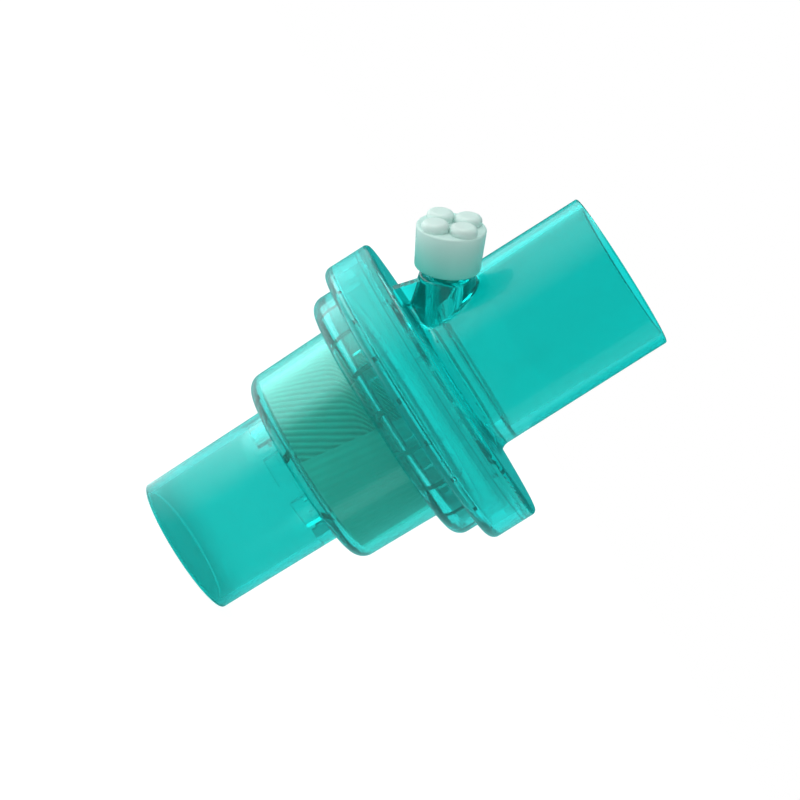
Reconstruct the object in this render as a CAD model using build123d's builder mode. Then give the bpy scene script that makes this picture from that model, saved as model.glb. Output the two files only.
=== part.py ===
from build123d import *

import os
from math import cos, radians, sin

# Breathing circuit filter with heat and moisture exchanger, in millimetres.
# The patient end is at the origin and the flow axis is +Z.
# The sampling port leans out between +X and +Y, so the flange alone sets the width.

# Patient side: 22 mm male cone, canister for the exchanger roll, ribbed step and flange
cone_taper = 1 / 40
patient_tip_diameter = 21.95
patient_port_length = 21.3
patient_port_wall = 1.3
canister_diameter = 32.1
canister_draft = 1.3
canister_wall = 1.4
canister_shoulder = 2.4
canister_length = 14.4
step_overhang = 4.5
step_length = 4.4
step_corner = 2.2
step_wall = 1.5
flange_overhang = 3.1
flange_length = 5.8
flange_corner = 1.4
flange_wall = 1.7
floor_thickness = 1.5

# Ribs and lugs moulded inside the patient side
step_rib_count = 18
step_rib_thickness = 0.8
step_rib_height = 4.3
stop_lug_count = 8
stop_lug_arc = 29.0
stop_lug_depth = 1.2
stop_lug_length = 2.6
stop_lug_setback = 3.0
pad_count = 8
pad_width = 1.2
pad_height = 0.6

# Machine side: cover, 22 mm socket and its neck
cover_thickness = 1.5
cover_rim_height = 2.35
cover_corner = 0.8
neck_fillet = 1.8
socket_outer_diameter = 25.6
socket_outer_draft = 0.12
socket_mouth_diameter = 22.42
socket_depth = 26.8
socket_length = 30.1
passage_diameter = 18.6
passage_flare = 1.0
weld_lip_length = 1.3
weld_lip_thickness = 1.1
clamp_rim_width = 1.2
cover_rib_count = 12
cover_rib_thickness = 0.8

# Sampling port: a luer socket with two lock lugs, on a boss braced by a web
port_azimuth = 45.0
port_tilt = 55.0
port_axis_drop = 3.35
boss_rise = 2.93
boss_depth = 5.4
boss_radius = 4.0
boss_taper = 0.39
boss_corner = 0.5
boss_fillet = 0.8
spout_length = 5.4
spout_wall = 1.165
luer_mouth_diameter = 4.27
luer_taper = 0.06
channel_depth = 1.1
lug_count = 2
lug_arc = 70.0
lug_height = 0.65
lug_length = 1.1
web_thickness = 1.2
web_setback = 5.4
web_drop = 0.6

# Luer cap
cap_gap = 1.1
cap_headroom = 1.2
cap_roof = 1.1
cap_wall = 1.05
cap_draft = 0.3
cap_foot_corner = 0.4
cap_top_corner = 0.3
plug_length = 6.0
plug_tip_corner = 0.3
grip_pad_count = 4
grip_pad_radius = 2.05
grip_pad_ring_radius = 2.95
grip_pad_height = 1.25
grip_pad_corner = 0.8
grip_pad_turn = 20.0

# Exchanger roll and filter membrane
media_clearance = 0.3
media_length = 16.7
core_radius = 1.0
flute_count = 60
flute_radius = 0.6
flute_depth = 0.35
turn_pitch = 1.6
turn_gap = 0.4
turn_depth = 0.6
membrane_thickness = 0.8
membrane_inset = 0.2
membrane_recess = 0.1

# Clearances between the pieces
weld_clearance = 0.05
luer_clearance = 0.05
cap_clearance = 0.2
edge_round = 0.3

# Heights and radii that follow from the sizes above
patient_tip_radius = patient_tip_diameter / 2
patient_root_radius = patient_tip_radius + patient_port_length * cone_taper / 2
canister_radius = canister_diameter / 2
step_height = patient_port_length + canister_length
flange_height = step_height + step_length
joint_height = flange_height + flange_length
canister_spread = (step_height - patient_port_length) * sin(radians(canister_draft))
canister_top_radius = canister_radius + canister_spread
step_radius = canister_top_radius + step_overhang
step_inner_radius = step_radius - step_wall
flange_radius = step_radius + flange_overhang
flange_inner_radius = flange_radius - flange_wall
canister_floor = patient_port_length + floor_thickness
step_floor = step_height + floor_thickness
flange_floor = flange_height + floor_thickness
cover_face = joint_height + cover_rim_height
cover_inside = cover_face - cover_thickness
membrane_top = joint_height - membrane_recess
seat_height = membrane_top - membrane_thickness
overall_height = cover_face + socket_length
socket_radius = socket_outer_diameter / 2
socket_mouth_radius = socket_mouth_diameter / 2
socket_seat = overall_height - socket_depth
socket_seat_radius = socket_mouth_radius - socket_depth * cone_taper / 2
passage_radius = passage_diameter / 2
media_floor = canister_floor + pad_height
port_axis_height = cover_face - port_axis_drop
boss_reach = (socket_radius + boss_rise) / sin(radians(port_tilt))
boss_foot_reach = (socket_radius - boss_depth) / sin(radians(port_tilt))
boss_foot_radius = boss_radius + (boss_reach - boss_foot_reach) * boss_taper / 2
port_reach = boss_reach + spout_length
luer_mouth_radius = luer_mouth_diameter / 2
port_radius = luer_mouth_radius + spout_wall
lug_radius = port_radius + lug_height
channel_start = (passage_radius - channel_depth) / sin(radians(port_tilt))
web_root = flange_radius - web_setback
cap_foot = boss_reach + cap_gap
cap_inside_top = port_reach + cap_headroom
cap_top = cap_inside_top + cap_roof
cap_inside_radius = lug_radius + cap_clearance
cap_foot_radius = cap_inside_radius + cap_wall - cap_draft
cap_top_radius = cap_inside_radius + cap_wall
port_level = Vector(1, 0, 0).rotate(Axis.Z, port_azimuth)
port_side = port_level.rotate(Axis.Z, -90)
port_start = Vector(0, 0, port_axis_height)
port_direction = Vector(0, 0, 1).rotate(Axis((0, 0, 0), port_side), -port_tilt)
port_axis = Axis(port_start, port_direction)
port_section = Plane(port_start, x_dir=port_direction.cross(port_side), z_dir=port_side)
port_plane = Plane(port_start, x_dir=port_section.x_dir, z_dir=port_direction)
web_plane = Plane((0, 0, 0), x_dir=port_level, z_dir=port_side)


def rounded_outline(corners):
    """Closed outline through (radius, height, corner rounding) points."""
    points = [(radius, height) for radius, height, rounding in corners]
    FilletPolyline(points, radius=[rounding for radius, height, rounding in corners], close=True)


def arc_blocks(inner, outer, arc, count, start_angle=0):
    """Faces of a ring's sectors, evenly spaced about the sketch's origin."""
    half_chord = outer * sin(radians(arc / 2))
    with PolarLocations(0, count, start_angle=start_angle):
        Polygon((0, 0), (2 * outer, -2 * half_chord), (2 * outer, 2 * half_chord), align=None)
    Circle(outer, mode=Mode.INTERSECT)
    Circle(inner, mode=Mode.SUBTRACT)


def beside_port(offset, reach):
    """Point of the web's plane, offset outward from the port's axis at a reach along it."""
    point = web_plane.to_local_coords(port_section.from_local_coords((offset, reach)))
    return point.X, point.Y


os.makedirs("parts", exist_ok=True)

# Patient side housing: one clear moulding, turned walls with ribs and lugs inside
with BuildPart() as patient_side_housing:
    with BuildSketch(Plane.XZ):
        with BuildLine():
            rounded_outline(
                [
                    (patient_tip_radius, 0, edge_round),
                    (patient_root_radius, patient_port_length, edge_round),
                    (canister_radius, patient_port_length, canister_shoulder),
                    (canister_top_radius, step_height, edge_round),
                    (step_radius, step_height, step_corner),
                    (step_radius, flange_height, edge_round),
                    (flange_radius, flange_height, flange_corner),
                    (flange_radius, joint_height, 0),
                    (flange_inner_radius, joint_height, 0),
                    (flange_inner_radius, flange_floor, edge_round),
                    (step_radius, flange_floor, edge_round),
                    (step_radius, seat_height, 0),
                    (step_inner_radius, seat_height, 0),
                    (step_inner_radius, step_floor, step_corner - step_wall / 2),
                    (canister_top_radius - canister_wall, step_floor, edge_round),
                    (canister_radius - canister_wall, canister_floor, canister_shoulder - canister_wall),
                    (patient_root_radius - patient_port_wall, canister_floor, edge_round),
                    (patient_tip_radius - patient_port_wall, 0, edge_round),
                ]
            )
        make_face()
    revolve(axis=Axis.Z)

    # webs that stiffen the step and centre the roll
    rib_start = canister_top_radius - canister_wall + media_clearance
    with BuildSketch(Plane.XY.offset(step_floor - edge_round)):
        with PolarLocations(0, step_rib_count):
            with Locations(((rib_start + step_inner_radius + edge_round) / 2, 0)):
                Rectangle(step_inner_radius + edge_round - rib_start, step_rib_thickness)
    extrude(amount=step_rib_height + edge_round)

    # lugs that stop a tube pushed into the bore
    lug_outer_radius = patient_root_radius - patient_port_wall + edge_round
    with BuildSketch(Plane.XY.offset(patient_port_length - stop_lug_setback)):
        lug_inner_radius = lug_outer_radius - edge_round - stop_lug_depth
        arc_blocks(lug_inner_radius, lug_outer_radius, stop_lug_arc, stop_lug_count)
    extrude(amount=stop_lug_length)

    # pads that hold the roll off the canister's floor
    pad_inner = patient_root_radius - patient_port_wall + edge_round
    pad_outer = canister_radius - canister_wall - media_clearance
    with BuildSketch(Plane.XY.offset(canister_floor - edge_round)):
        with PolarLocations(0, pad_count):
            with Locations(((pad_inner + pad_outer) / 2, 0)):
                Rectangle(pad_outer - pad_inner, pad_width)
    extrude(amount=pad_height + edge_round)

patient_side_housing.part.label = "patient_side_housing"
export_step(patient_side_housing.part, "parts/patient_side_housing.step")

# Exchanger roll: corrugated paper wound on itself, with the flutes of its outer turn along the flow
media_radius = canister_radius - canister_wall - media_clearance
media_top = media_floor + media_length
turn_count = int((media_radius - core_radius) / turn_pitch)
with BuildPart() as exchanger_roll:
    with BuildSketch(Plane.XY.offset(media_floor)):
        Circle(media_radius)
        with PolarLocations(media_radius + flute_radius - flute_depth, flute_count):
            Circle(flute_radius, mode=Mode.SUBTRACT)
        Circle(core_radius, mode=Mode.SUBTRACT)
    extrude(amount=media_top - media_floor)

    # gaps between the turns, seen on both ends of the roll
    with BuildSketch(Plane.XY.offset(media_floor), Plane.XY.offset(media_top - turn_depth)):
        for turn in reversed(range(1, turn_count)):
            turn_radius = core_radius + turn * turn_pitch
            Circle(turn_radius + turn_gap / 2)
            Circle(turn_radius - turn_gap / 2, mode=Mode.SUBTRACT)
    extrude(amount=turn_depth, mode=Mode.SUBTRACT)

exchanger_roll.part.label = "exchanger_roll"
export_step(exchanger_roll.part, "parts/exchanger_roll.step")

# Filter membrane: a flat disc gripped at its rim between the two housings
with BuildPart() as filter_membrane:
    with BuildSketch(Plane.XY.offset(seat_height)):
        Circle(step_radius - membrane_inset)
    extrude(amount=membrane_thickness)

filter_membrane.part.label = "filter_membrane"
export_step(filter_membrane.part, "parts/filter_membrane.step")

# Machine side housing: cover, socket and sampling port in one clear moulding
with BuildPart() as machine_side_housing:
    with BuildSketch(Plane.XZ):
        with BuildLine():
            rounded_outline(
                [
                    (0, joint_height, 0),
                    (flange_radius, joint_height, 0),
                    (flange_radius, cover_face, cover_corner),
                    (socket_radius, cover_face, neck_fillet),
                    (socket_radius - socket_outer_draft / 2, overall_height, edge_round),
                    (0, overall_height, 0),
                ]
            )
        make_face()
    revolve(axis=Axis.Z)

    # boss and luer spout, turned about the port's own axis
    with BuildSketch(port_section):
        with BuildLine():
            rounded_outline(
                [
                    (0, boss_foot_reach, 0),
                    (boss_foot_radius, boss_foot_reach, 0),
                    (boss_radius, boss_reach, boss_corner),
                    (port_radius, boss_reach, 0),
                    (port_radius, port_reach, edge_round),
                    (0, port_reach, 0),
                ]
            )
        make_face()
    revolve(axis=port_axis)
    boss_root = machine_side_housing.edges(Select.NEW).filter_by_position(
        Axis.Z, cover_inside, overall_height
    )
    fillet(boss_root, boss_fillet)

    # lock lugs at the spout's mouth
    with BuildSketch(port_plane.offset(port_reach - lug_length)):
        arc_blocks(port_radius - edge_round * 2, lug_radius, lug_arc, lug_count, start_angle=90)
    extrude(amount=lug_length)

    # web that braces the port against the cover
    web_foot = cover_face - cover_thickness / 2
    with BuildSketch(web_plane):
        with BuildLine():
            Polyline(
                (web_root, web_foot),
                (web_root, cover_face),
                beside_port(boss_radius - boss_corner, boss_reach - web_drop),
                beside_port(0, boss_foot_reach),
                (socket_radius, web_foot),
                close=True,
            )
        make_face()
    extrude(amount=web_thickness / 2, both=True)

    # air way: flared passage under the cover, then the tapered socket
    with BuildSketch(Plane.XZ):
        with BuildLine():
            rounded_outline(
                [
                    (0, step_floor, 0),
                    (flange_inner_radius, step_floor, 0),
                    (flange_inner_radius, cover_inside, edge_round),
                    (passage_radius, cover_inside, passage_flare),
                    (passage_radius, socket_seat, edge_round),
                    (socket_seat_radius, socket_seat, edge_round),
                    (socket_mouth_radius, overall_height, 0),
                    (0, overall_height, 0),
                ]
            )
        make_face()
    revolve(axis=Axis.Z, mode=Mode.SUBTRACT)

    # sampling channel with the luer taper at its mouth
    luer_length = port_reach - channel_start
    with BuildSketch(port_section):
        with BuildLine():
            Polyline(
                (0, channel_start),
                (luer_mouth_radius - luer_length * luer_taper / 2, channel_start),
                (luer_mouth_radius, port_reach),
                (0, port_reach),
                close=True,
            )
        make_face()
    revolve(axis=port_axis, mode=Mode.SUBTRACT)

    # weld lip inside the flange wall, and the rim that grips the membrane
    lip_outer = flange_inner_radius - weld_clearance
    with BuildSketch(Plane.XY.offset(joint_height - weld_lip_length)):
        Circle(lip_outer)
        Circle(lip_outer - weld_lip_thickness, mode=Mode.SUBTRACT)
    extrude(amount=cover_inside + edge_round - joint_height + weld_lip_length)
    with BuildSketch(Plane.XY.offset(membrane_top)):
        Circle(step_radius - membrane_inset)
        Circle(step_radius - membrane_inset - clamp_rim_width, mode=Mode.SUBTRACT)
    extrude(amount=cover_inside + edge_round - membrane_top)

    # ribs that keep the membrane off the cover
    rib_inner = passage_radius - edge_round
    rib_outer = step_radius - membrane_inset - clamp_rim_width / 2
    with BuildSketch(Plane.XY.offset(membrane_top + edge_round / 2)):
        with PolarLocations(0, cover_rib_count):
            with Locations(((rib_inner + rib_outer) / 2, 0)):
                Rectangle(rib_outer - rib_inner, cover_rib_thickness)
    extrude(amount=cover_inside + edge_round - membrane_top - edge_round / 2)

machine_side_housing.part.label = "machine_side_housing"
export_step(machine_side_housing.part, "parts/machine_side_housing.step")

# Luer cap: skirt, roof and plug in one moulding, with four pads to grip on top
plug_mouth_radius = luer_mouth_radius - luer_clearance
plug_tip = port_reach - plug_length
with BuildPart() as luer_cap:
    with BuildSketch(port_section):
        with BuildLine():
            rounded_outline(
                [
                    (cap_inside_radius, cap_foot, edge_round / 2),
                    (cap_foot_radius, cap_foot, cap_foot_corner),
                    (cap_top_radius, cap_top, cap_top_corner),
                    (0, cap_top, 0),
                    (0, plug_tip, 0),
                    (plug_mouth_radius - plug_length * luer_taper / 2, plug_tip, plug_tip_corner),
                    (plug_mouth_radius + (cap_inside_top - port_reach) * luer_taper / 2, cap_inside_top, 0),
                    (cap_inside_radius, cap_inside_top, edge_round),
                ]
            )
        make_face()
    revolve(axis=port_axis)

    # grip pads
    with BuildSketch(port_plane.offset(cap_top - edge_round)):
        with PolarLocations(grip_pad_ring_radius, grip_pad_count, start_angle=grip_pad_turn):
            Circle(grip_pad_radius)
    extrude(amount=grip_pad_height + edge_round)
    pad_tops = luer_cap.faces().sort_by(port_axis)[-grip_pad_count:]
    fillet(pad_tops.edges(), grip_pad_corner)

luer_cap.part.label = "luer_cap"
export_step(luer_cap.part, "parts/luer_cap.step")
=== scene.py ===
from math import atan2, cos, degrees, pi, radians, sin, tan

import bmesh
import bpy
from mathutils import Matrix, Vector


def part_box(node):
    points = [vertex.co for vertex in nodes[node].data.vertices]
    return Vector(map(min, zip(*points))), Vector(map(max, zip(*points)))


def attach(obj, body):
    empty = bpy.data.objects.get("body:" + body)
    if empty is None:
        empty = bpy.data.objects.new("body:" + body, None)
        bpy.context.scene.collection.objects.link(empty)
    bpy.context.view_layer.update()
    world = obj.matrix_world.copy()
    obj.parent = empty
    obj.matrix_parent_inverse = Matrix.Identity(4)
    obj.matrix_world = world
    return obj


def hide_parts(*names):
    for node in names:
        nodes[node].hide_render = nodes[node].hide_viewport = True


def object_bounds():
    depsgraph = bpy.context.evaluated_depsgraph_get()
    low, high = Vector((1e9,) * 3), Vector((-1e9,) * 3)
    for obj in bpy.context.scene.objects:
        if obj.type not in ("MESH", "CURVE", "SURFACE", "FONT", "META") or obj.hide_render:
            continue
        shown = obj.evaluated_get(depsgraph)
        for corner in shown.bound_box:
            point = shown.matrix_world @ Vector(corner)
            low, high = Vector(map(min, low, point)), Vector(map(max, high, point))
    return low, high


# Breathing circuit filter, dressed over its CAD solids. Metres, patient end down, flow axis +Z.
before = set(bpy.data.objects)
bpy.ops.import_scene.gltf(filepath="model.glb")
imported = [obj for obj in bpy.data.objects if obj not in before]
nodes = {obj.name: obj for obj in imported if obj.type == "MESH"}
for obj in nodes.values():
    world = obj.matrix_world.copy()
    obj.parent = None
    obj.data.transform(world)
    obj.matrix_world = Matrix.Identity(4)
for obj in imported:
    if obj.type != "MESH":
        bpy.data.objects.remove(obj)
cad_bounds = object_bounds()


def new_material(name):
    """Empty node material with its output."""
    material = bpy.data.materials.new(name)
    material.use_nodes = True
    material.node_tree.nodes.clear()
    output = material.node_tree.nodes.new("ShaderNodeOutputMaterial")
    return material, material.node_tree, output


def dress(node_name, material):
    """Put a material on every slot of a CAD node."""
    mesh = nodes[node_name].data
    mesh.materials.clear()
    mesh.materials.append(material)


def clear_teal_plastic():
    """Dyed clear plastic: a gloss skin, and dye that darkens with the depth of material."""
    filter_top = cad_bounds[1][2]
    tube_tint = (0.025, 0.74, 0.71, 1.0)
    # the paler canister and brighter flange tints are partly the plastic's tone, partly painted
    # sheen and light
    canister_tint_and_sheen = (0.26, 0.8, 0.73, 1.0)
    step_tint = (0.1, 0.78, 0.75, 1.0)
    flange_tint_and_light = (0.03, 0.92, 0.9, 1.0)
    # skin tint between two heights: cone, canister, ribbed step, flange, then cover and socket
    tint_bands = (
        (tube_tint, 0.0, 0.0205),
        (canister_tint_and_sheen, 0.0235, 0.035),
        (step_tint, 0.0365, 0.0395),
        (flange_tint_and_light, 0.041, 0.0485),
        (tube_tint, 0.0505, filter_top),
    )
    styrene_ior = 1.48
    skin_roughness = 0.04
    clear_share = 0.94
    mirror_tint = (0.82, 0.9, 0.9, 1.0)
    coat_share = 0.65
    coat_roughness = 0.26
    coat_tint = (0.35, 0.98, 0.98, 1.0)
    flow_scale = 60.0
    flow_detail = 2.0
    flow_stretch = (1.0, 1.0, 0.1)
    flow_relief = 0.00003
    square_root = 0.5
    dye_colour = (0.0, 0.9, 0.885, 1.0)
    dye_density = 130.0

    material, tree, output = new_material("clear_teal_plastic")
    link = tree.links.new
    skin = tree.nodes.new("ShaderNodeBsdfPrincipled")
    skin.inputs["Roughness"].default_value = skin_roughness
    skin.inputs["IOR"].default_value = styrene_ior
    skin.inputs["Transmission Weight"].default_value = clear_share
    skin.inputs["Specular Tint"].default_value = mirror_tint
    skin.inputs["Coat Weight"].default_value = coat_share
    skin.inputs["Coat Roughness"].default_value = coat_roughness
    skin.inputs["Coat Tint"].default_value = coat_tint

    place = tree.nodes.new("ShaderNodeTexCoord")
    place_parts = tree.nodes.new("ShaderNodeSeparateXYZ")
    height = tree.nodes.new("ShaderNodeMapRange")
    height.inputs["From Max"].default_value = filter_top
    tint = tree.nodes.new("ShaderNodeValToRGB")
    stops = tint.color_ramp.elements
    while len(stops) < 2 * len(tint_bands):
        stops.new(1.0)
    for band, (band_tint, band_foot, band_top) in enumerate(tint_bands):
        for stop, stop_height in ((2 * band, band_foot), (2 * band + 1, band_top)):
            stops[stop].position = stop_height / filter_top
            stops[stop].color = band_tint
    link(place.outputs["Object"], place_parts.inputs["Vector"])
    link(place_parts.outputs["Z"], height.inputs["Value"])
    link(height.outputs["Result"], tint.inputs["Fac"])
    link(tint.outputs["Color"], skin.inputs["Base Color"])

    # faint lines that the plastic leaves where it flowed along the mould
    flow_lines = tree.nodes.new("ShaderNodeTexNoise")
    flow_lines.inputs["Scale"].default_value = flow_scale
    flow_lines.inputs["Detail"].default_value = flow_detail
    relief = tree.nodes.new("ShaderNodeBump")
    relief.inputs["Distance"].default_value = flow_relief
    stretched = tree.nodes.new("ShaderNodeVectorMath")
    stretched.operation = "MULTIPLY"
    stretched.inputs[1].default_value = flow_stretch
    link(place.outputs["Object"], stretched.inputs[0])
    link(stretched.outputs["Vector"], flow_lines.inputs["Vector"])
    link(flow_lines.outputs["Fac"], relief.inputs["Height"])
    link(relief.outputs["Normal"], skin.inputs["Normal"])

    # light from a lamp goes straight through; each of a wall's two faces gives half of its tint
    lamp_light = tree.nodes.new("ShaderNodeBsdfTransparent")
    one_face = tree.nodes.new("ShaderNodeGamma")
    one_face.inputs["Gamma"].default_value = square_root
    link(tint.outputs["Color"], one_face.inputs["Color"])
    link(one_face.outputs["Color"], lamp_light.inputs["Color"])
    rays = tree.nodes.new("ShaderNodeLightPath")
    surface = tree.nodes.new("ShaderNodeMixShader")
    link(rays.outputs["Is Shadow Ray"], surface.inputs["Fac"])
    link(skin.outputs["BSDF"], surface.inputs[1])
    link(lamp_light.outputs["BSDF"], surface.inputs[2])
    link(surface.outputs["Shader"], output.inputs["Surface"])

    dye = tree.nodes.new("ShaderNodeVolumeAbsorption")
    dye.inputs["Color"].default_value = dye_colour
    dye.inputs["Density"].default_value = dye_density
    link(dye.outputs["Volume"], output.inputs["Volume"])
    return material


teal_plastic = clear_teal_plastic()
dress("patient_side_housing", teal_plastic)
dress("machine_side_housing", teal_plastic)


# Exchanger roll: a band of off-white corrugated paper, wound on itself and glued at its end.
# Its flutes slant across the flow and turn sharper near the top. It drops into the canister
# and rests on eight pads.
flute_count = 80
points_per_flute = 6
flute_depth = 0.00042
flute_slant = 31.0
flute_slant_at_top = 66.0
top_bend_start = 0.56
top_bend_end = 0.67
turn_pitch = 0.0016
turn_gap = 0.0004
turn_depth = 0.0006
core_radius = 0.001
ring_step = 0.0006
wrap_lift = 0.00025
wrap_thickness = 0.0002
wrap_flute_depth = 0.00018
wrap_slant = 8.0
wrap_start_azimuth = 98.0
wrap_arc = 150.0
smooth_below_angle = 40.0


def mesh_in_hand():
    """Edit mesh of the active object."""
    mesh = bmesh.from_edit_mesh(bpy.context.object.data)
    mesh.verts.ensure_lookup_table()
    return mesh


def select_vertices(wanted):
    """Select the vertices for which wanted(position) holds, and the edges between them."""
    bpy.ops.mesh.select_all(action="DESELECT")
    mesh = mesh_in_hand()
    for vertex in mesh.verts:
        vertex.select = wanted(vertex.co)
    mesh.select_flush(True)
    bmesh.update_edit_mesh(bpy.context.object.data)


def flute_phase(position):
    """Which of a flute's points a vertex of the first ring is, counted from the crest."""
    turn = atan2(position.y, position.x) / (2 * pi)
    return round(turn * flute_count * points_per_flute) % points_per_flute


def azimuth_past(position, start):
    """Degrees from the start azimuth round to a vertex."""
    return (degrees(atan2(position.y, position.x)) - start) % 360


def fluted_ring(name, radius, foot, depth):
    """Ring of edges in edit mode, with the section of the flutes."""
    bpy.ops.object.select_all(action="DESELECT")
    bpy.ops.mesh.primitive_circle_add(
        vertices=flute_count * points_per_flute, radius=radius, location=(0, 0, foot)
    )
    ring = bpy.context.object
    ring.name = name
    bpy.ops.object.transform_apply(location=True, rotation=True, scale=True)
    bpy.ops.object.mode_set(mode="EDIT")
    for phase in range(1, points_per_flute):
        sunk = depth / 2 * (1 - cos(2 * pi * phase / points_per_flute))
        select_vertices(lambda position: flute_phase(position) == phase)
        shrink = 1 - sunk / radius
        bpy.ops.transform.resize(value=(shrink, shrink, 1), center_override=(0, 0, 0))
    bpy.ops.mesh.select_all(action="SELECT")
    return ring


def draw_up(radius, height, slant, slant_at_top):
    """Raise the selected edges to a wall, each step turned by the flutes' slant."""
    steps = round(height / ring_step)
    rise = height / steps
    for step in range(steps):
        bent = (step / steps - top_bend_start) / (top_bend_end - top_bend_start)
        slant_here = slant + (slant_at_top - slant) * min(1.0, max(0.0, bent))
        turn = -rise * tan(radians(slant_here)) / radius
        bpy.ops.mesh.extrude_edges_indiv()
        bpy.ops.transform.translate(value=(0, 0, rise))
        bpy.ops.transform.rotate(value=turn, orient_axis="Z", center_override=(0, 0, 0))


def wound_end(radius, way):
    """Draw the selected rim inward as the edges of the turns, one groove after each."""
    turn_steps = (
        (turn_pitch - turn_gap, 0),
        (0, turn_depth),
        (turn_gap, 0),
        (0, -turn_depth),
    )
    while radius > core_radius + turn_pitch:
        for inner, drop in turn_steps:
            shrink = (radius - inner) / radius
            bpy.ops.mesh.extrude_edges_indiv()
            bpy.ops.transform.resize(value=(shrink, shrink, 1), center_override=(0, 0, 0))
            bpy.ops.transform.translate(value=(0, 0, -way * drop))
            radius -= inner
    bpy.ops.mesh.edge_face_add()


roll_low, roll_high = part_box("exchanger_roll")
roll_height = roll_high.z - roll_low.z
roll_radius = roll_high.x - wrap_lift
just_above_foot = roll_low.z + ring_step / 4
paper_roll = fluted_ring("paper_roll", roll_radius, roll_low.z, flute_depth)
draw_up(roll_radius, roll_height, flute_slant, flute_slant_at_top)
wound_end(roll_radius, 1)
select_vertices(lambda position: position.z < just_above_foot)
wound_end(roll_radius, -1)
bpy.ops.mesh.select_all(action="SELECT")
bpy.ops.mesh.normals_make_consistent(inside=False)
bpy.ops.object.mode_set(mode="OBJECT")

# the end of the paper, laid over the outer turn and glued there
paper_end = fluted_ring("paper_end", roll_high.x, roll_low.z, wrap_flute_depth)
select_vertices(lambda position: azimuth_past(position, wrap_start_azimuth) > wrap_arc)
bpy.ops.mesh.delete(type="VERT")
bpy.ops.mesh.select_all(action="SELECT")
draw_up(roll_high.x, roll_height, wrap_slant, wrap_slant)
bpy.ops.mesh.select_all(action="SELECT")
bpy.ops.mesh.normals_make_consistent(inside=False)
bpy.ops.object.mode_set(mode="OBJECT")
thickness = paper_end.modifiers.new("paper_thickness", "SOLIDIFY")
thickness.thickness = wrap_thickness
thickness.offset = -1
bpy.ops.object.modifier_apply(modifier=thickness.name)
bpy.ops.object.select_all(action="DESELECT")
paper_end.select_set(True)
paper_roll.select_set(True)
bpy.context.view_layer.objects.active = paper_roll
bpy.ops.object.join()
bpy.ops.object.shade_smooth_by_angle(angle=radians(smooth_below_angle))


def corrugated_paper():
    """Matt off-white paper, pale on the crests, with painted shade darkening the valleys of the
    flutes.
    """
    crest_colour = (0.88, 0.84, 0.74, 1.0)
    valley_painted_shade = (0.58, 0.54, 0.45, 1.0)
    paper_roughness = 0.85
    across_the_flow = (1.0, 1.0, 0.0)

    material, tree, output = new_material("corrugated_paper")
    link = tree.links.new
    place = tree.nodes.new("ShaderNodeTexCoord")
    across = tree.nodes.new("ShaderNodeVectorMath")
    across.operation = "MULTIPLY"
    across.inputs[1].default_value = across_the_flow
    from_axis = tree.nodes.new("ShaderNodeVectorMath")
    from_axis.operation = "LENGTH"
    # painted shade: the deeper into a flute's valley, the darker the paper
    height = tree.nodes.new("ShaderNodeMapRange")
    height.inputs["From Min"].default_value = roll_radius - flute_depth
    height.inputs["From Max"].default_value = roll_radius
    shade = tree.nodes.new("ShaderNodeMix")
    shade.data_type = "RGBA"
    shade.inputs["A"].default_value = valley_painted_shade
    shade.inputs["B"].default_value = crest_colour
    paper = tree.nodes.new("ShaderNodeBsdfPrincipled")
    paper.inputs["Roughness"].default_value = paper_roughness
    link(place.outputs["Object"], across.inputs[0])
    link(across.outputs["Vector"], from_axis.inputs[0])
    link(from_axis.outputs["Value"], height.inputs["Value"])
    link(height.outputs["Result"], shade.inputs["Factor"])
    link(shade.outputs["Result"], paper.inputs["Base Color"])
    link(paper.outputs["BSDF"], output.inputs["Surface"])
    return material


paper_roll.data.materials.append(corrugated_paper())
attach(paper_roll, "filter")
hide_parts("exchanger_roll")


# Filter membrane: a flat disc of white electrostatic felt. It is cut from the sheet and
# gripped at its rim between the two housings.
def white_felt():
    """Matt white nonwoven felt."""
    felt_colour = (0.88, 0.9, 0.9, 1.0)
    felt_roughness = 0.95

    material, tree, output = new_material("white_felt")
    felt = tree.nodes.new("ShaderNodeBsdfPrincipled")
    felt.inputs["Base Color"].default_value = felt_colour
    felt.inputs["Roughness"].default_value = felt_roughness
    tree.links.new(felt.outputs["BSDF"], output.inputs["Surface"])
    return material


dress("filter_membrane", white_felt())


# Luer cap: a small cap moulded in milky polypropylene, with four round pads on its top to
# grip. It screws on the lock lugs of the sampling port, and its plug closes the port's bore.
port_axis = Vector((0.579228, 0.579228, 0.573576))
cap_heights = [port_axis.dot(vertex.co) for vertex in nodes["luer_cap"].data.vertices]
cap_foot = min(cap_heights)
cap_top = max(cap_heights)


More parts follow.
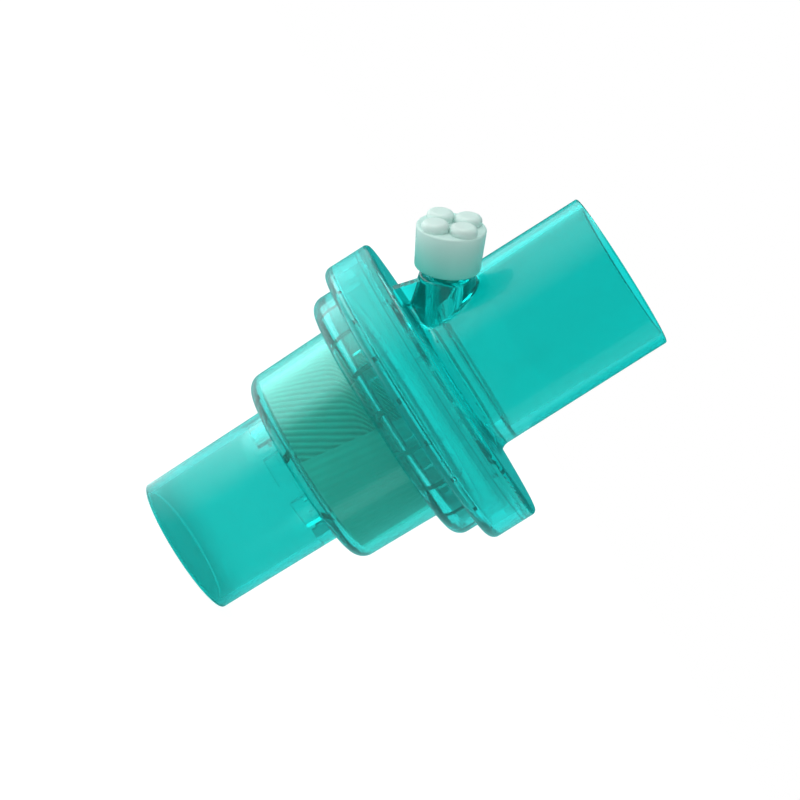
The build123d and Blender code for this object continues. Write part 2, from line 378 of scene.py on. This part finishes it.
def milky_plastic():
    """Milky satin plastic that light sinks into, with painted teal light at the foot for the port
    showing through, and a top made paler by painted light.
    """
    foot_painted_teal = (0.06, 0.78, 0.67, 1.0)
    top_colour_and_painted_light = (0.78, 0.95, 0.9, 1.0)
    satin_roughness = 0.32
    milky_ior = 1.4
    milky_clear_share = 0.3

    material, tree, output = new_material("milky_plastic")
    link = tree.links.new
    place = tree.nodes.new("ShaderNodeTexCoord")
    along_port = tree.nodes.new("ShaderNodeVectorMath")
    along_port.operation = "DOT_PRODUCT"
    along_port.inputs[1].default_value = port_axis
    height = tree.nodes.new("ShaderNodeMapRange")
    height.inputs["From Min"].default_value = cap_foot
    height.inputs["From Max"].default_value = cap_top
    # painted light: teal from the port at the foot, paler towards the top where the light falls
    shade = tree.nodes.new("ShaderNodeMix")
    shade.data_type = "RGBA"
    shade.inputs["A"].default_value = foot_painted_teal
    shade.inputs["B"].default_value = top_colour_and_painted_light
    plastic = tree.nodes.new("ShaderNodeBsdfPrincipled")
    plastic.inputs["Roughness"].default_value = satin_roughness
    plastic.inputs["IOR"].default_value = milky_ior
    plastic.inputs["Transmission Weight"].default_value = milky_clear_share
    link(place.outputs["Object"], along_port.inputs[0])
    link(along_port.outputs["Value"], height.inputs["Value"])
    link(height.outputs["Result"], shade.inputs["Factor"])
    link(shade.outputs["Result"], plastic.inputs["Base Color"])
    link(plastic.outputs["BSDF"], output.inputs["Surface"])
    return material


dress("luer_cap", milky_plastic())


# Studio floor: a plain pale sheet, white where nothing shades it. It isn't part of the filter.
# The filter's gloss shows it white towards the lamps on the upper left of the picture.
# On the other sides the gloss shows a painted teal reflection, which the sheet has only for the
# gloss.
white = (1.0, 1.0, 1.0, 1.0)
floor_size = 6.0
floor_shadow_radius = 0.035
floor_shadow_core = floor_shadow_radius / 3


def no_matt_bounce(tree, *ray_kinds):
    """1 for rays of all these kinds that haven't yet left a matt surface, else 0."""
    before_first_bounce = 0.5
    rays = tree.nodes.new("ShaderNodeLightPath")
    first = tree.nodes.new("ShaderNodeMath")
    first.operation = "LESS_THAN"
    first.inputs[1].default_value = before_first_bounce
    tree.links.new(rays.outputs["Diffuse Depth"], first.inputs[0])
    chosen = first.outputs["Value"]
    for ray_kind in ray_kinds:
        both = tree.nodes.new("ShaderNodeMath")
        both.operation = "MULTIPLY"
        tree.links.new(chosen, both.inputs[0])
        tree.links.new(rays.outputs[ray_kind], both.inputs[1])
        chosen = both.outputs["Value"]
    return chosen


def mix_values(tree, share, low, high):
    """Value between low and high; each of the three is a number or an output."""
    mix = tree.nodes.new("ShaderNodeMix")
    for socket, value in (("Factor", share), ("A", low), ("B", high)):
        if isinstance(value, float):
            mix.inputs[socket].default_value = value
        else:
            tree.links.new(value, mix.inputs[socket])
    return mix.outputs["Result"]


def mix_colours(tree, share, low, high):
    """Colour between low and high; share is an output, and each colour is one or an output."""
    mix = tree.nodes.new("ShaderNodeMix")
    mix.data_type = "RGBA"
    tree.links.new(share, mix.inputs["Factor"])
    for socket, value in (("A", low), ("B", high)):
        if isinstance(value, tuple):
            mix.inputs[socket].default_value = value
        else:
            tree.links.new(value, mix.inputs[socket])
    return mix.outputs["Result"]


def mirrored_colour(tree, direction):
    """Colour painted into the surroundings for the gloss only, for a direction from the filter:
    white towards the lamps, a painted teal reflection elsewhere.
    """
    bright_azimuth = radians(10.0)
    towards_bright = (cos(bright_azimuth), sin(bright_azimuth), 0.0)
    teal_below = 0.45
    white_above = 0.95
    other_sides_painted_teal = (0.02, 0.4, 0.38, 1.0)

    unit = tree.nodes.new("ShaderNodeVectorMath")
    unit.operation = "NORMALIZE"
    side = tree.nodes.new("ShaderNodeVectorMath")
    side.operation = "DOT_PRODUCT"
    side.inputs[1].default_value = towards_bright
    share = tree.nodes.new("ShaderNodeMapRange")
    share.inputs["From Min"].default_value = teal_below
    share.inputs["From Max"].default_value = white_above
    tree.links.new(direction, unit.inputs[0])
    tree.links.new(unit.outputs["Vector"], side.inputs[0])
    tree.links.new(side.outputs["Value"], share.inputs["Value"])
    return mix_colours(tree, share.outputs["Result"], other_sides_painted_teal, white)


def pale_floor():
    """Matt sheet that looks nearly white wherever it is seen, with the filter's faint shadow."""
    sheet_colour = (0.9, 0.9, 0.9, 1.0)
    seen_white = (0.88, 0.88, 0.88, 1.0)
    seen_shade = (0.28, 0.28, 0.28, 1.0)

    material, tree, output = new_material("pale_floor")
    link = tree.links.new
    sheet = tree.nodes.new("ShaderNodeBsdfDiffuse")
    sheet.inputs["Color"].default_value = sheet_colour
    shaded = tree.nodes.new("ShaderNodeBsdfDiffuse")
    shaded.inputs["Color"].default_value = seen_shade
    glowing = tree.nodes.new("ShaderNodeEmission")
    seen = tree.nodes.new("ShaderNodeAddShader")
    surface = tree.nodes.new("ShaderNodeMixShader")
    rays = tree.nodes.new("ShaderNodeLightPath")
    place = tree.nodes.new("ShaderNodeTexCoord")
    from_axis = tree.nodes.new("ShaderNodeVectorMath")
    from_axis.operation = "LENGTH"
    past_shadow = tree.nodes.new("ShaderNodeMapRange")
    past_shadow.inputs["From Min"].default_value = floor_shadow_core
    past_shadow.inputs["From Max"].default_value = floor_shadow_radius
    link(place.outputs["Object"], from_axis.inputs[0])
    link(from_axis.outputs["Value"], past_shadow.inputs["Value"])

    # it is seen by the camera, in the gloss, and past the shadow also through clear plastic
    through_plastic = no_matt_bounce(tree, "Is Transmission Ray")
    seen_share = mix_values(tree, through_plastic, 0.0, past_shadow.outputs["Result"])
    seen_share = mix_values(tree, rays.outputs["Is Camera Ray"], seen_share, 1.0)
    mirrored = no_matt_bounce(tree, "Is Glossy Ray", "Is Reflection Ray")
    seen_share = mix_values(tree, mirrored, seen_share, 1.0)
    seen_colour = mix_colours(
        tree, mirrored, seen_white, mirrored_colour(tree, place.outputs["Object"])
    )
    link(seen_colour, glowing.inputs["Color"])
    link(shaded.outputs["BSDF"], seen.inputs[0])
    link(glowing.outputs["Emission"], seen.inputs[1])
    link(seen_share, surface.inputs["Fac"])
    link(sheet.outputs["BSDF"], surface.inputs[1])
    link(seen.outputs["Shader"], surface.inputs[2])
    link(surface.outputs["Shader"], output.inputs["Surface"])
    return material


bpy.ops.object.select_all(action="DESELECT")
bpy.ops.mesh.primitive_plane_add(size=floor_size, location=(0, 0, 0))
floor = bpy.context.object
floor.name = "studio_floor"
floor.data.materials.append(pale_floor())


# Studio light: white surroundings at a plain level, and six soft lamps that stand upright
# round the filter. Four are on the upper left of the picture, with the key lamp above the
# others. Two faint strips on its lower right give the second reflection along the tubes.
surroundings_grey = (0.7, 0.7, 0.7, 1.0)
world = bpy.data.worlds.new("studio_surroundings")
bpy.context.scene.world = world
world.use_nodes = True
world_tree = world.node_tree
background = world_tree.nodes["Background"]
world_rays = world_tree.nodes.new("ShaderNodeLightPath")
world_direction = world_tree.nodes.new("ShaderNodeTexCoord")
# in the gloss the surroundings are painted: white towards the lamps, a painted teal reflection
# elsewhere
world_colour = mix_colours(
    world_tree,
    no_matt_bounce(world_tree, "Is Glossy Ray", "Is Reflection Ray"),
    surroundings_grey,
    mirrored_colour(world_tree, world_direction.outputs["Generated"]),
)
world_colour = mix_colours(
    world_tree, no_matt_bounce(world_tree, "Is Transmission Ray"), world_colour, white
)
world_colour = mix_colours(world_tree, world_rays.outputs["Is Camera Ray"], world_colour, white)
world_tree.links.new(world_colour, background.inputs["Color"])


def soft_lamp(name, azimuth, distance, width, foot, top, radiance):
    """Upright rectangular lamp that faces the filter's axis."""
    height = top - foot
    towards = Vector((cos(radians(azimuth)), sin(radians(azimuth)), 0.0))
    middle = towards * distance + Vector((0, 0, foot + height / 2))
    bpy.ops.object.select_all(action="DESELECT")
    bpy.ops.object.light_add(type="AREA", location=middle)
    lamp = bpy.context.object
    lamp.name = name
    lamp.rotation_euler = towards.to_track_quat("Z", "Y").to_euler()
    lamp.data.shape = "RECTANGLE"
    lamp.data.size = width
    lamp.data.size_y = height
    lamp.data.energy = radiance * pi * width * height


soft_lamp("key_lamp", azimuth=20, distance=0.26, width=0.2, foot=0.13, top=0.3, radiance=3.6)
soft_lamp("low_lamp", azimuth=16, distance=0.11, width=0.13, foot=0.001, top=0.034, radiance=1.4)
soft_lamp("low_halo", azimuth=14, distance=0.116, width=0.21, foot=0.001, top=0.034, radiance=1.1)
soft_lamp("edge_lamp", azimuth=-26, distance=0.12, width=0.05, foot=0.046, top=0.09, radiance=0.5)
soft_lamp("strip_low", azimuth=160, distance=0.12, width=0.04, foot=0.001, top=0.03, radiance=0.5)
soft_lamp("strip_high", azimuth=205, distance=0.12, width=0.09, foot=0.046, top=0.09, radiance=0.25)


# Camera: on the photograph's side of the filter, placed so that the filter fills the same part
# of the frame. It is rolled, so that the flow axis leans up to the right.
camera_azimuth = 103.395
camera_elevation = 3.507
camera_roll = 57.728
camera_distance = 0.345
camera_target = Vector((0.001305, 0.000325, 0.039661))
camera_lens = 102.48
camera_sensor_width = 36.0
camera_clip_start = 0.01
camera_towards = Vector(
    (
        cos(radians(camera_elevation)) * cos(radians(camera_azimuth)),
        cos(radians(camera_elevation)) * sin(radians(camera_azimuth)),
        sin(radians(camera_elevation)),
    )
)
bpy.ops.object.select_all(action="DESELECT")
bpy.ops.object.camera_add()
camera = bpy.context.object
camera.name = "photo_camera"
camera_turn = camera_towards.to_track_quat("Z", "Y").to_matrix().to_4x4()
camera_place = Matrix.Translation(camera_target + camera_towards * camera_distance)
camera.matrix_world = camera_place @ camera_turn @ Matrix.Rotation(radians(camera_roll), 4, "Z")
camera.data.lens = camera_lens
camera.data.sensor_width = camera_sensor_width
camera.data.clip_start = camera_clip_start
bpy.context.scene.camera = camera
bpy.context.scene.view_settings.view_transform = "Standard"
